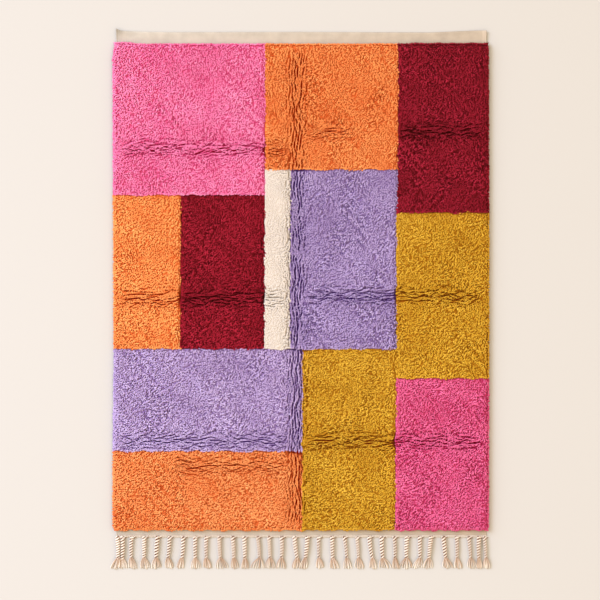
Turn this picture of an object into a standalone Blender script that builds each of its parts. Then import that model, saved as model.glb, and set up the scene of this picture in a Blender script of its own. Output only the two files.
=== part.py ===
"""A hand-knotted wool rug lying flat on a floor.

The woven body is one solid: a thin flat-woven ground that shows at the head and the foot, and on
it a lumpy slab of pile with parted creases and with locks at its rim. The fringe is a second
solid: a narrow twined strip along the foot with 32 twisted cords, each ending in a splayed tuft.

Units are metres and +Z is up. The rug is laid out in its own plan first: u runs from the left
edge of the pile to the right, and v from the head edge of the pile down to the foot. The head
ends up towards +Y, the fringe towards -Y, and the middle of the whole rug stands at the origin.
"""

import math

import bmesh
import bpy
import numpy as np
from mathutils import Matrix
from mathutils.geometry import delaunay_2d_cdt

# Driving sizes of the pile and the woven ground
PILE_WIDTH = 1.500
PILE_LENGTH = 1.942
PILE_HEIGHT = 0.022
GROUND_THICKNESS = 0.003
GROUND_INSET = 0.012
HEAD_BAND = 0.0445
FOOT_BAND = 0.0180
PILE_TUCK = 0.010

# Driving sizes of the fringe
STRIP_GAP = 0.0003
STRIP_WIDTH = 0.008
STRIP_THICKNESS = 0.0045
STRIP_LEFT = 0.0108
STRIP_RIGHT = 1.4884
CORD_LENGTH = 0.086
CORD_SIDE = 0.0125
CORD_SECTIONS = 8
SECTION_TURN = math.radians(45)
CORD_BOW = 0.0020
KNOT_NARROWING = 0.15
TUFT_LENGTH = 0.039
STRANDS_PER_TUFT = 5
STRAND_FILL = 0.75
STRAND_LENGTH_RANGE = (0.90, 1.06)
SPLAY_POWER = 0.8
STRAND_SECTIONS = (
    # share of the tuft's length, height
    (0.45, 0.0060),
    (0.85, 0.0040),
    (1.00, 0.0025),
)

# Where the strip lies below the woven foot band
STRIP_START = PILE_LENGTH + FOOT_BAND + STRIP_GAP
STRIP_END = STRIP_START + STRIP_WIDTH

# Spacing of the points that shape the pile
LOCK_STEP = 0.018
RIM_STEP = 0.038
CREASE_STEP = 0.040
FIELD_STEP = 0.066
BORDER_STEP = 0.036
FLOOR_STEP = 0.250
FLOOR_MARGIN = 0.200
INNER_MARGIN = 0.036
SAME_PLACE = 1e-6
SEED = 41

# Unevenness: slow lumps in the pile, locks at its rim, and how softly each change runs out
LUMP_HEIGHT = 0.0011
LUMP_WAVES = 9
LUMP_WAVE_RANGE = (0.15, 0.45)
NOTCH_INSET = 0.006
NOTCH_LIFT = 0.004
TIP_RANGE = (-0.35, 0.25)
FIELD_JITTER = 0.2
EDGE_FADE = 0.060
CROWN_FADE = 0.020

# Sections through the rim, from the floor edge inwards. "run" is the distance in the plan of
# points, and the shape is folded from it: the lock tips overhang the edge of the ground.
FLOOR_RUN = -0.024
EDGE_RUN = -0.016
TIP_RUN = 0.000
SHOULDER_RUN = 0.016
CROWN_RUN = 0.040
BAND_RUN = 0.056
SIDE_RIM = (
    # run, inset, height
    (FLOOR_RUN, GROUND_INSET + 0.0005, 0.000),
    (EDGE_RUN, GROUND_INSET, GROUND_THICKNESS),
    (TIP_RUN, 0.000, 0.005),
    (SHOULDER_RUN, 0.010, 0.017),
    (CROWN_RUN, CROWN_RUN, PILE_HEIGHT),
    (1.0, 1.0, PILE_HEIGHT),
)
BAND_SIDE = (
    # run, inset
    (FLOOR_RUN, 0.0125),
    (EDGE_RUN, 0.0130),
    (TIP_RUN, 0.0170),
    (0.100, 0.100),
    (1.0, 1.0),
)

# How far the pile's edges stray inwards, and where the head band's edge lies
LEFT_STRAY = (
    # v, inwards
    (-0.010, 0.000), (0.000, 0.008), (0.030, 0.002), (0.060, -0.002), (0.400, 0.000),
    (1.300, 0.003), (1.700, -0.001), (1.925, -0.002), (1.942, 0.008), (1.960, 0.000),
)
RIGHT_STRAY = (
    # v, inwards
    (-0.010, 0.000), (0.000, 0.008), (0.020, 0.002), (0.450, 0.001), (1.000, 0.000),
    (1.600, 0.001), (1.925, 0.002), (1.942, 0.006), (1.960, 0.000),
)
HEAD_STRAY = (
    # u, outwards
    (0.000, 0.005), (0.070, 0.006), (0.105, 0.000), (1.100, 0.000), (1.220, 0.003), (1.500, 0.002),
)
HEAD_BAND_EDGE = (
    # u, beyond the pile's head edge
    (0.000, 0.0580), (0.014, 0.0570), (0.032, 0.0500), (0.060, 0.0485), (0.130, 0.0460),
    (0.240, HEAD_BAND), (0.740, 0.0455), (1.260, 0.0430), (1.343, 0.0465), (1.442, 0.0505),
    (1.500, 0.0500),
)
CORNER_LIFTS = (
    # u, v, height, reach
    (0.013, -0.057, 0.011, 0.085),
    (1.487, -0.050, 0.007, 0.130),
)

# Creases left in the pile where the rug was folded: rows of furrows between low ridges
CREASES = (
    # direction, place, start, finish, depth
    ("down", 0.732, 0.034, 1.908, 0.0060),
    ("across", 0.418, 0.034, 0.690, 0.0040),
    ("across", 0.352, 0.774, 0.960, 0.0030),
    ("across", 0.350, 1.140, 1.466, 0.0050),
    ("across", 1.014, 0.034, 0.690, 0.0050),
    ("across", 1.003, 0.774, 1.466, 0.0045),
    ("across", 1.580, 0.034, 0.690, 0.0040),
    ("across", 1.680, 0.240, 0.690, 0.0030),
    ("across", 1.582, 0.774, 1.466, 0.0045),
)
FURROWS = {
    # direction: offset from the crease, share of its depth
    "down": ((-0.021, 0.0), (-0.014, -0.9), (-0.007, 0.15), (0.0, -1.1), (0.007, 0.2),
             (0.014, -0.8), (0.021, 0.25)),
    "across": ((-0.014, 0.1), (-0.007, -1.0), (0.0, 0.1), (0.007, -1.0), (0.014, 0.1)),
}
CREASE_FADE = 0.060
CREASE_END_SHARE = 0.25
WANDER = 0.0030
WANDER_WAVE = 0.150
CREASE_CLEARANCE = 0.026

# Plain fields of colour in the pile
FIELDS = (
    # wool, left, right, top, bottom
    ("pink", 0.000, 0.603, 0.000, 0.606),
    ("orange", 0.603, 1.135, 0.000, 0.506),
    ("burgundy", 1.135, 1.500, 0.000, 0.677),
    ("orange", 0.000, 0.268, 0.606, 1.218),
    ("burgundy", 0.268, 0.603, 0.606, 1.218),
    ("cream", 0.603, 0.706, 0.506, 1.218),
    ("lavender", 0.706, 1.130, 0.506, 1.218),
    ("lavender", 0.000, 0.758, 1.218, 1.626),
    ("mustard", 1.130, 1.500, 0.677, 1.336),
    ("mustard", 0.758, 1.130, 1.218, 1.942),
    ("orange", 0.000, 0.758, 1.626, 1.942),
    ("pink", 1.130, 1.500, 1.336, 1.942),
)
WOOLS = {
    # wool: base colour
    "pink": (0.79, 0.15, 0.31),
    "orange": (0.83, 0.22, 0.06),
    "burgundy": (0.22, 0.010, 0.018),
    "cream": (0.87, 0.73, 0.60),
    "lavender": (0.38, 0.25, 0.47),
    "mustard": (0.58, 0.27, 0.025),
}
COTTON = (0.75, 0.62, 0.49)
WOOL_ROUGHNESS = 0.95
COTTON_ROUGHNESS = 0.90

# The tassels, left to right, in millimetres: where each cord starts along the foot, how far its
# knot and the middle of its tuft lie to the right of that, and how wide the tuft splays
TASSELS = (
    # root, knot, tuft, splay
    (19, 2, -12, 29), (38, -1, 1, 29), (75, -2, 3, 30), (125, -1, 3, 34),
    (178, -6, -6, 36), (226, -7, -1, 27), (280, -5, -13, 25), (328, 0, 1, 34),
    (372, -1, 5, 28), (424, 4, 11, 42), (477, 4, 8, 25), (523, 2, 2, 28),
    (576, 8, -1, 45), (621, 5, 2, 36), (672, -1, -4, 33), (723, 11, 4, 28),
    (774, -8, -16, 28), (819, 1, 5, 30), (873, 2, 9, 28), (921, 10, 15, 30),
    (971, 7, 12, 32), (1021, 12, 15, 25), (1070, 4, 15, 42), (1120, 3, 6, 24),
    (1171, -2, -5, 42), (1221, 1, -10, 32), (1267, -9, -14, 38), (1316, 9, 20, 36),
    (1368, 2, 7, 32), (1416, 8, 15, 32), (1458, -1, 2, 18), (1478, 7, 9, 24),
)
MILLIMETRE = 0.001


class Plan:
    """Points in the plan, with the edges that the net of triangles has to keep."""

    def __init__(self):
        self.points = []
        self.edges = []

    def add_chain(self, chain, closed=False):
        """Add points with an edge from each to the next."""
        first = len(self.points)
        self.points.extend(chain)
        last = len(self.points) - 1
        self.edges.extend((i, i + 1) for i in range(first, last))
        if closed:
            self.edges.append((last, first))

    def triangles(self):
        """Join the points into a net of triangles."""
        net = delaunay_2d_cdt([tuple(p) for p in self.points], self.edges, [], 0, 1e-6)
        sources = [found[0] for found in net[3]]
        return [[sources[corner] for corner in face] for face in net[2]]


def spread(start, finish, step):
    """Return evenly spaced places from start to finish, an even number of steps apart."""
    count = 2 * max(1, round((finish - start) / step / 2))
    return np.linspace(start, finish, count + 1)


def ring(side_run, end_run, step):
    """Return the points of a rectangle at these distances inside the pile's edges."""
    across = spread(side_run, PILE_WIDTH - side_run, step)
    down = spread(end_run, PILE_LENGTH - end_run, step)
    head = [(a, down[0]) for a in across[:-1]]
    right = [(across[-1], b) for b in down[:-1]]
    foot = [(a, down[-1]) for a in across[:0:-1]]
    left = [(across[0], b) for b in down[:0:-1]]
    return head + right + foot + left


def wander(places):
    """Return how far a crease strays sideways along its length: two slow waves."""
    turns = 2 * math.pi * np.asarray(places) / WANDER_WAVE
    return WANDER * (np.sin(turns) + 0.6 * np.sin(0.43 * turns + 1.3))


def crease_lines(direction, place, start, finish):
    """Return one chain of points for each furrow and ridge of a crease."""
    along = spread(start, finish, CREASE_STEP)
    lines = []
    for offset, _ in FURROWS[direction]:
        across = place + offset + wander(along)
        pair = (across, along) if direction == "down" else (along, across)
        lines.append(list(zip(*pair)))
    return lines


def field_borders():
    """Return points along the borders between the fields of colour."""
    points = []
    for _, left, right, top, bottom in FIELDS:
        points += [(left, v) for v in np.arange(top, bottom, BORDER_STEP)]
        points += [(u, top) for u in np.arange(left, right, BORDER_STEP)]
    return np.array(points)


def clear_of(points, others, distance):
    """Keep the points that lie at least this far from all the others."""
    gaps = np.linalg.norm(points[:, None, :] - others[None, :, :], axis=2)
    return points[gaps.min(axis=1) >= distance]


def thinned(points, distance):
    """Keep each point that lies at least this far from the ones kept before it."""
    kept = points[:1]
    for point in points[1:]:
        if np.linalg.norm(kept - point, axis=1).min() >= distance:
            kept = np.vstack((kept, point))
    return kept


def inner_points(rng, fixed):
    """Return the points of the pile's broad surface: field borders, then a loose jittered grid."""
    low, high = INNER_MARGIN, (PILE_WIDTH - INNER_MARGIN, PILE_LENGTH - INNER_MARGIN)
    borders = field_borders()
    inside = (borders > low).all(axis=1) & (borders < high).all(axis=1)
    borders = thinned(clear_of(borders[inside], fixed, CREASE_CLEARANCE), BORDER_STEP * 0.8)
    across = spread(low + CROWN_FADE, high[0] - CROWN_FADE, FIELD_STEP)
    down = spread(low + CROWN_FADE, high[1] - CROWN_FADE, FIELD_STEP)
    grid = np.array([(a, b) for b in down for a in across])
    grid += rng.uniform(-FIELD_JITTER, FIELD_JITTER, grid.shape) * FIELD_STEP
    grid = clear_of(grid, np.vstack((fixed, borders)), CREASE_CLEARANCE)
    return np.vstack((borders, grid))


def band_rows():
    """Return rows of points on the head and foot bands, and where the pile stands on them."""
    across = spread(TIP_RUN, PILE_WIDTH - TIP_RUN, RIM_STEP)
    rows = []
    for run in (EDGE_RUN, EDGE_RUN - BAND_RUN / 2):
        rows.append([(a, run) for a in across])
        rows.append([(a, PILE_LENGTH - run) for a in across])
    return rows


def lumps(u, v, rng):
    """Return the slow unevenness of the pile: a sum of waves of many directions."""
    height = np.zeros_like(u)
    for _ in range(LUMP_WAVES):
        heading, phase = rng.uniform(0, 2 * math.pi, 2)
        wave = rng.uniform(*LUMP_WAVE_RANGE)
        along = u * math.cos(heading) + v * math.sin(heading)
        height += np.sin(2 * math.pi * along / wave + phase)
    return LUMP_HEIGHT * height


def furrow_relief(u, v):
    """Return the creases' relief: furrows and ridges that fade out at each crease's ends."""
    relief = np.zeros_like(u)
    for direction, place, start, finish, depth in CREASES:
        across, along = (u, v) if direction == "down" else (v, u)
        offsets, shares = np.array(FURROWS[direction]).T
        share = np.interp(across - place - wander(along), offsets, shares, 0.0, 0.0)
        outside = np.maximum(start - along, along - finish)
        fade = np.clip(-outside / CREASE_FADE + CREASE_END_SHARE, 0.0, 1.0)
        relief += depth * share * fade * (outside < SAME_PLACE)
    return relief


def lock_teeth(places, length, rng):
    """Return 0 at each lock's tip and 1 in the notch beside it, with uneven tips."""
    stations = spread(TIP_RUN, length - TIP_RUN, LOCK_STEP)
    teeth = np.arange(len(stations)) % 2 + rng.uniform(*TIP_RANGE, len(stations))
    return np.interp(places, stations, teeth)


def corner_lift(u, v):
    """Return how far the curled corners of the head band rise from the floor."""
    lift = np.zeros_like(u)
    for corner_u, corner_v, height, reach in CORNER_LIFTS:
        near = np.clip(1 - np.hypot(u - corner_u, v - corner_v) / reach, 0, 1)
        lift += height * near * near * (3 - 2 * near)
    return lift


def end_place(end_run, u, at_head):
    """Return how far outside the pile's edge a point of the band lies, from its run."""
    head_edge = np.interp(u, *np.array(HEAD_BAND_EDGE).T)
    head_tip = np.interp(u, *np.array(HEAD_STRAY).T)
    edge = np.where(at_head, head_edge, FOOT_BAND)
    tip = np.where(at_head, head_tip, 0.0)
    share = np.clip((EDGE_RUN - end_run) / BAND_RUN, 0.0, 1.0)
    return tip * np.clip(1 - end_run / EDGE_FADE, 0, 1) + (edge - tip) * share


def fold_plan(points, rng):
    """Fold the plan of points into the top surface: bands, rim with locks, and lumpy pile."""
    a, b = np.array(points).T
    side_run = np.minimum(a, PILE_WIDTH - a)
    end_run = np.minimum(b, PILE_LENGTH - b)
    at_left = a < PILE_WIDTH / 2
    at_head = b < PILE_LENGTH / 2
    runs, insets, heights = np.array(SIDE_RIM).T
    pile_share = np.clip((end_run - EDGE_RUN) / (TIP_RUN - EDGE_RUN), 0, 1)
    inset = pile_share * np.interp(side_run, runs, insets)
    inset += (1 - pile_share) * np.interp(side_run, *np.array(BAND_SIDE).T)

    inwards = np.interp(end_run, runs[2:], insets[2:])
    outwards = end_place(end_run, a, at_head)
    tucked = (np.abs(end_run - EDGE_RUN) < SAME_PLACE) & (side_run >= TIP_RUN)
    depth = inwards - outwards + PILE_TUCK * tucked

    side_height = np.interp(side_run, runs, heights)
    end_height = np.interp(end_run, runs[2:], heights[2:])
    on_band = end_run < TIP_RUN - SAME_PLACE
    end_height[on_band] = GROUND_THICKNESS
    on_floor = (end_run < EDGE_RUN - BAND_RUN - SAME_PLACE) | (side_run < EDGE_RUN - SAME_PLACE)
    end_height[on_floor] = 0.0
    z = np.minimum(side_height, end_height)

    tooth_side = lock_teeth(b, PILE_LENGTH, rng)
    tooth_end = lock_teeth(a, PILE_WIDTH, rng)
    at_side_tip = (np.abs(side_run - TIP_RUN) < SAME_PLACE) & (end_run > SHOULDER_RUN)
    at_end_tip = (np.abs(end_run - TIP_RUN) < SAME_PLACE) & (side_run > SHOULDER_RUN)
    inset += NOTCH_INSET * tooth_side * at_side_tip
    depth += NOTCH_INSET * tooth_end * at_end_tip
    z += NOTCH_LIFT * np.where(at_side_tip, tooth_side, tooth_end) * (at_side_tip | at_end_tip)

    v = np.where(at_head, depth, PILE_LENGTH - depth)
    near_rim = np.clip(1 - (side_run - SHOULDER_RUN) / EDGE_FADE, 0, 1) * (side_run >= TIP_RUN)
    stray_left = np.interp(v, *np.array(LEFT_STRAY).T)
    stray_right = np.interp(v, *np.array(RIGHT_STRAY).T)
    inset += near_rim * np.where(at_left, stray_left, stray_right)
    u = np.where(at_left, inset, PILE_WIDTH - inset)

    crown = np.clip((np.minimum(side_run, end_run) - SHOULDER_RUN) / CROWN_FADE + 0.5, 0, 1)
    z += crown * (lumps(a, b, rng) + furrow_relief(a, b))
    return np.column_stack((u, v, z + corner_lift(u, v)))


def body_points():
    """Fold the whole body: return its points in the plan's u, v, z and its triangles."""
    rng = np.random.default_rng(SEED)
    floor_ring = ring(FLOOR_RUN, FLOOR_RUN - BAND_RUN, RIM_STEP)
    top = Plan()
    top.add_chain(floor_ring, closed=True)
    top.add_chain(ring(EDGE_RUN, EDGE_RUN - BAND_RUN, RIM_STEP), closed=True)
    for row in band_rows():
        top.add_chain(row)
    top.add_chain(ring(TIP_RUN, TIP_RUN, LOCK_STEP), closed=True)
    top.add_chain(ring(SHOULDER_RUN, SHOULDER_RUN, RIM_STEP), closed=True)
    for direction, place, start, finish, _ in CREASES:
        for line in crease_lines(direction, place, start, finish):
            top.add_chain(line)
    top.points.extend(map(tuple, inner_points(rng, np.array(top.points))))
    shape = fold_plan(top.points, rng)

    under = Plan()
    under.add_chain(floor_ring, closed=True)
    for row in band_rows():
        under.add_chain(row)
    across = spread(FLOOR_MARGIN, PILE_WIDTH - FLOOR_MARGIN, FLOOR_STEP)
    down = spread(FLOOR_MARGIN, PILE_LENGTH - FLOOR_MARGIN, FLOOR_STEP)
    under.points.extend((a, b) for b in down for a in across)
    under_shape = fold_plan(under.points, np.random.default_rng(SEED))
    under_shape[:, 2] = corner_lift(under_shape[:, 0], under_shape[:, 1])

    ring_size = len(floor_ring)
    shift = len(top.points) - ring_size
    joined = [[c if c < ring_size else c + shift for c in face] for face in under.triangles()]
    points = np.vstack((shape, under_shape[ring_size:]))
    return points, top.triangles(), joined


def to_world(points):
    """Turn the plan's u, v, z into X, Y, Z with the head towards +Y."""
    return np.column_stack((points[:, 0], -points[:, 1], points[:, 2]))


def principled(name, colour, roughness):
    """Make a cloth material."""
    material = bpy.data.materials.new(name)
    material.use_nodes = True
    shader = material.node_tree.nodes["Principled BSDF"]
    shader.inputs["Base Color"].default_value = (*colour, 1.0)
    shader.inputs["Roughness"].default_value = roughness
    shader.inputs["Metallic"].default_value = 0.0
    return material


def field_index(u, v):
    """Return the place in WOOLS of the field at this point of the plan, or None on a band."""
    for wool, left, right, top, bottom in FIELDS:
        if left <= u <= right and top <= v <= bottom:
            return list(WOOLS).index(wool)
    return None


def make_body(collection):
    """Make the woven body with its pile, and colour its fields."""
    points, top_faces, under_faces = body_points()
    mesh = bpy.data.meshes.new("rug_body")
    mesh.from_pydata(to_world(points).tolist(), [], top_faces + under_faces)
    for wool, colour in WOOLS.items():
        mesh.materials.append(principled(f"wool_{wool}", colour, WOOL_ROUGHNESS))
    mesh.materials.append(principled("cotton_ground", COTTON, COTTON_ROUGHNESS))
    ground = len(WOOLS)
    for polygon in mesh.polygons:
        x, y, z = polygon.center
        in_pile = z > GROUND_THICKNESS * 1.2 and -y < PILE_LENGTH and -y > -PILE_TUCK
        field = field_index(x, -y) if in_pile else None
        polygon.material_index = ground if field is None else field
    bm = bmesh.new()
    bm.from_mesh(mesh)
    bmesh.ops.recalc_face_normals(bm, faces=bm.faces)
    bm.to_mesh(mesh)
    bm.free()
    body = bpy.data.objects.new("rug_body", mesh)
    collection.objects.link(body)
    return body


def strip_with_roots(bm):
    """Make the twined strip along the foot, and return the foot-side face of each tassel's root."""
    middle = ((STRIP_LEFT + STRIP_RIGHT) / 2, -(STRIP_START + STRIP_WIDTH / 2), STRIP_THICKNESS / 2)
    size = (STRIP_RIGHT - STRIP_LEFT, STRIP_WIDTH, STRIP_THICKNESS)
    bmesh.ops.create_cube(bm, size=1, matrix=Matrix.LocRotScale(middle, None, size))
    roots = [root * MILLIMETRE for root, _, _, _ in TASSELS]
    for root in roots:
        for side in (-CORD_SIDE / 2, CORD_SIDE / 2):
            everything = bm.verts[:] + bm.edges[:] + bm.faces[:]
            bmesh.ops.bisect_plane(bm, geom=everything, plane_co=(root + side, 0, 0), plane_no=(1, 0, 0))
    bm.normal_update()
    front = [face for face in bm.faces if face.normal.y < -0.9]
    return [min(front, key=lambda face: abs(face.calc_center_median().x - root)) for root in roots]


def corner_marks(face):
    """Return for each corner of an upright face whether it is left or right, and low or high."""
    centre = face.calc_center_median()
    return [
        (math.copysign(1, loop.vert.co.x - centre.x), math.copysign(1, loop.vert.co.z - centre.z))
        for loop in face.loops
    ]


def add_cord(bm, face, root, knot, bow):
    """Grow one twisted cord from its root face and return the upright face at its knot."""
    marks = corner_marks(face)
    for section in range(1, CORD_SECTIONS + 1):
        share = section / CORD_SECTIONS
        turn = share * CORD_SECTIONS * SECTION_TURN
        side = CORD_SIDE * (1 - KNOT_NARROWING * share ** 4) / 2
        cosine, sine = side * math.cos(turn), side * math.sin(turn)
        centre_x = root + knot * share + bow * math.sin(math.pi * share)
        centre_z = abs(cosine) + abs(sine)
        y = -(STRIP_END + CORD_LENGTH * share)
        face = bmesh.ops.extrude_discrete_faces(bm, faces=[face])["faces"][0]
        for loop, (right, up) in zip(face.loops, marks):
            across = right * cosine - up * sine
            rise = right * sine + up * cosine
            loop.vert.co = (centre_x + across, y, centre_z + rise)
    return face


def split_into_strips(bm, face):
    """Cut an upright face into one narrow strip for each strand, from left to right."""
    y = face.calc_center_median().y
    level = [edge for edge in face.edges if math.isclose(*(v.co.z for v in edge.verts), abs_tol=SAME_PLACE)]
    low, high = min(v.co.x for v in face.verts), max(v.co.x for v in face.verts)
    bmesh.ops.subdivide_edges(bm, edges=level, cuts=STRANDS_PER_TUFT - 1, use_grid_fill=True)
    strips = [
        f for f in bm.faces
        if all(abs(v.co.y - y) < SAME_PLACE and low <= v.co.x <= high for v in f.verts)
    ]
    return sorted(strips, key=lambda f: f.calc_center_median().x)


def add_strand(bm, face, sections):
    """Grow one strand of a tuft: each section is its middle, its width and its height."""
    marks = corner_marks(face)
    for x, y, width, height in sections:
        face = bmesh.ops.extrude_discrete_faces(bm, faces=[face])["faces"][0]
        for loop, (right, up) in zip(face.loops, marks):
            loop.vert.co = (x + right * width / 2, y, (1 + up) * height / 2)


def add_tuft(bm, face, tuft_x, splay, rng):
    """Grow the strands of one tuft, fanned out on the floor from the knot's face."""
    knot_x, knot_y, _ = face.calc_center_median()
    strips = split_into_strips(bm, face)
    root_pitch = CORD_SIDE * (1 - KNOT_NARROWING) / STRANDS_PER_TUFT
    tip_pitch = splay / STRANDS_PER_TUFT
    for number, strip in enumerate(strips):
        place = number - (STRANDS_PER_TUFT - 1) / 2
        length = TUFT_LENGTH * rng.uniform(*STRAND_LENGTH_RANGE)
        sections = []
        for share, height in STRAND_SECTIONS:
            pitch = root_pitch + (tip_pitch - root_pitch) * share ** SPLAY_POWER
            x = knot_x + (tuft_x - knot_x) * share + place * pitch
            sections.append((x, knot_y - length * share, STRAND_FILL * pitch, height))
        add_strand(bm, strip, sections)


def make_fringe(collection):
    """Make the fringe: the twined strip with its twisted cords and splayed tufts."""
    rng = np.random.default_rng(SEED + 1)
    bm = bmesh.new()
    for face, (root, knot, tuft, splay) in zip(strip_with_roots(bm), TASSELS):
        root, knot, tuft, splay = (value * MILLIMETRE for value in (root, knot, tuft, splay))
        end = add_cord(bm, face, root, knot, rng.uniform(-CORD_BOW, CORD_BOW))
        add_tuft(bm, end, root + tuft, splay, rng)
    bmesh.ops.triangulate(bm, faces=bm.faces)
    bmesh.ops.recalc_face_normals(bm, faces=bm.faces)
    mesh = bpy.data.meshes.new("fringe")
    bm.to_mesh(mesh)
    bm.free()
    mesh.materials.append(principled("cotton_fringe", COTTON, COTTON_ROUGHNESS))
    fringe = bpy.data.objects.new("fringe", mesh)
    collection.objects.link(fringe)
    return fringe


def stand_on_origin(parts):
    """Move the parts together so that the middle of their box stands over the origin."""
    corners = np.array([vertex.co for part in parts for vertex in part.data.vertices])
    low, high = corners.min(axis=0), corners.max(axis=0)
    for part in parts:
        part.location = (-(low[0] + high[0]) / 2, -(low[1] + high[1]) / 2, -low[2])


def main():
    """Clear the scene and make the rug."""
    for old in list(bpy.data.objects):
        bpy.data.objects.remove(old, do_unlink=True)
    collection = bpy.data.collections.new("boujad_rug")
    bpy.context.scene.collection.children.link(collection)
    stand_on_origin([make_body(collection), make_fringe(collection)])


main()
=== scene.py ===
"""Looks of the wool rug: cut wool locks over a woven ground, flat-woven ends and a twisted fringe.

Plan coordinates follow the part: u runs across from the pile's left edge, v runs down from its head
edge, z up from the floor, all in metres. to_frame() turns them into the row frame.

Every yarn and lock is coloured through its chart, which is its UV map: x holds its tone, one of
YARN_LEVELS side by side, and y runs from its root to its tip. Low in y the colour is painted in
shade: between the roots, in the cords' grooves and at the bottom of folds.
"""

import math
from types import SimpleNamespace

import bpy
import numpy as np
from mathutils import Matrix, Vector


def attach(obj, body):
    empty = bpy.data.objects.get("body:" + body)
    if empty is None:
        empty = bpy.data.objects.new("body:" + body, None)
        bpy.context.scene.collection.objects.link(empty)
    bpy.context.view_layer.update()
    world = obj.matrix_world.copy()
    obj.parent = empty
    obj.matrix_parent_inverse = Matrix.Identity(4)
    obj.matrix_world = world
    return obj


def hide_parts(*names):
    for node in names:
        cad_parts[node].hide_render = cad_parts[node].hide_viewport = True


MM = 0.001
PLAN_TO_X, PLAN_TO_Y = -0.74746, 1.01880

# Sizes of the rug, as the part has them. The locks stand 3.5 mm higher than the part's pile, which
# gives the soft shadow along the rug's right and foot edges.
PILE_WIDTH, PILE_LENGTH = 1.500, 1.942
PILE_TOP, GROUND_TOP = 25.5 * MM, 3 * MM
GROUND_LEFT, GROUND_WIDTH, FOOT_EDGE = 12.5 * MM, 1.475, 1.960

# Outlines: (place along the edge, how far it strays: at the sides inwards, at the head outwards).
LEFT_STRAY = [(-0.010, 0), (0, 0.008), (0.030, 0.002), (0.060, -0.002), (0.400, 0), (1.300, 0.003),
              (1.700, -0.001), (1.925, -0.002), (1.942, 0.008), (1.960, 0)]
RIGHT_STRAY = [(-0.010, 0), (0, 0.008), (0.020, 0.002), (0.450, 0.001), (1.000, 0), (1.600, 0.001),
               (1.925, 0.002), (1.942, 0.006), (1.960, 0)]
HEAD_STRAY = [(0, 0.005), (0.070, 0.006), (0.105, 0), (1.100, 0), (1.220, 0.003), (1.500, 0.002)]
HEAD_BAND_EDGE = [(0, 0.0580), (0.014, 0.0570), (0.032, 0.0500), (0.060, 0.0485), (0.130, 0.0460),
                  (0.240, 0.0445), (0.740, 0.0455), (1.260, 0.0430), (1.343, 0.0465),
                  (1.442, 0.0505), (1.500, 0.0500)]
# The pile's rounded rim: (distance in from the outline, height), in millimetres.
RIM_PROFILE = [(-2, 4), (0, 9), (3, 15), (8, 20), (16, 23), (30, 25), (45, 25.5)]
# Curled corners of the head band: place u and v, height, and how far the curl reaches.
CORNER_LIFTS = [(0.013, -0.057, 0.011, 0.085), (1.487, -0.050, 0.007, 0.130)]

# Creases where the rug was folded: direction, place, start, finish, and how deep the fold is.
CREASES = [
    ("down", 0.732, 0.034, 1.908, 0.0060), ("across", 0.418, 0.034, 0.690, 0.0040),
    ("across", 0.352, 0.774, 0.960, 0.0030), ("across", 0.350, 1.140, 1.466, 0.0060),
    ("across", 1.014, 0.034, 0.690, 0.0050), ("across", 1.003, 0.774, 1.466, 0.0062),
    ("across", 1.580, 0.034, 0.690, 0.0036), ("across", 1.680, 0.240, 0.690, 0.0030),
    ("across", 1.582, 0.774, 1.466, 0.0045),
]
# The furrows of a crease: open is how open they are in its middle, narrowing how much less at its
# sides, and longest the longest wave of their opening and closing.
FURROWS = {
    "down": {"count": 8, "spacing": 0.0112, "stray": 2.4 * MM, "depth": 12 * MM,
             "open": 1.15, "narrowing": 0.75, "longest": 0.13},
    "across": {"count": 7, "spacing": 0.0106, "stray": 3.8 * MM, "depth": 15 * MM,
               "open": 1.25, "narrowing": 0.55, "longest": 0.10},
}
FURROW_LIP = 0.4 * MM  # left between locks that two furrows push together

# Fields of one dye lot: lot, left, right, top, bottom. Together they cover the whole pile.
FIELDS = [
    ("pink", 0, 0.605, 0, 0.604), ("orange", 0.605, 1.135, 0, 0.503),
    ("burgundy", 1.135, 1.500, 0, 0.675), ("soft_orange", 0, 0.270, 0.604, 1.217),
    ("red_burgundy", 0.270, 0.605, 0.604, 1.217), ("cream", 0.605, 0.707, 0.503, 1.217),
    ("lavender", 0.707, 1.135, 0.503, 1.217), ("pale_lavender", 0, 0.758, 1.217, 1.622),
    ("mustard", 1.135, 1.500, 0.675, 1.334), ("mustard", 0.758, 1.135, 1.217, 1.942),
    ("warm_orange", 0, 0.758, 1.622, 1.942), ("deep_pink", 1.135, 1.500, 1.334, 1.942),
]
# How open the locks of a dye lot stand. The lots that aren't named have 1.
OPENNESS = {"pink": 0.9, "orange": 1.25, "cream": 0.05, "lavender": 1.3, "mustard": 1.05,
            "burgundy": 1.6, "red_burgundy": 1.25}
# The undyed lot is of softer wool: its locks are broad and flat and stand on a high bed.
SOFT_LOT = "cream"

# sRGB colours of each dye lot: the painted shade between the roots, then its dark, middle and
# lightest locks.
DYES = {
    "pink": ("#d32f6c", "#d53a76", "#ef83b4", "#fcacd5"),
    "deep_pink": ("#b92256", "#bd2a5e", "#df6494", "#fb85b6"),
    "orange": ("#d0511b", "#d25a22", "#ec9051", "#fcb46d"),
    "soft_orange": ("#d7581e", "#d96126", "#f59d59", "#fcc277"),
    "warm_orange": ("#d0531e", "#d25d25", "#ec9557", "#fcb876"),
    "burgundy": ("#5b020b", "#62040f", "#901528", "#bd2944"),
    "red_burgundy": ("#5d020a", "#64040e", "#941327", "#c32841"),
    "cream": ("#c7bab1", "#c7bab1", "#cfc3ba", "#d9cec4"),
    "lavender": ("#7c5b99", "#81639d", "#b099c7", "#d1bde7"),
    "pale_lavender": ("#85639f", "#8b6ba4", "#bca4d0", "#dfcbf1"),
    "mustard": ("#a76403", "#aa6b05", "#d2a32d", "#f1c649"),
}
# Fringe yarn tones: painted shade in grooves and at knots, then dark, middle and light yarns.
FRINGE_TONES = ("#98735a", "#b79e8a", "#ddd2c7", "#f1e8df")
WEAVE_LEFT, WEAVE_RIGHT = "#b5aca2", "#a99784"
YARN_LEVELS = 24  # tones of one dye, side by side in each yarn's chart

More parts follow.
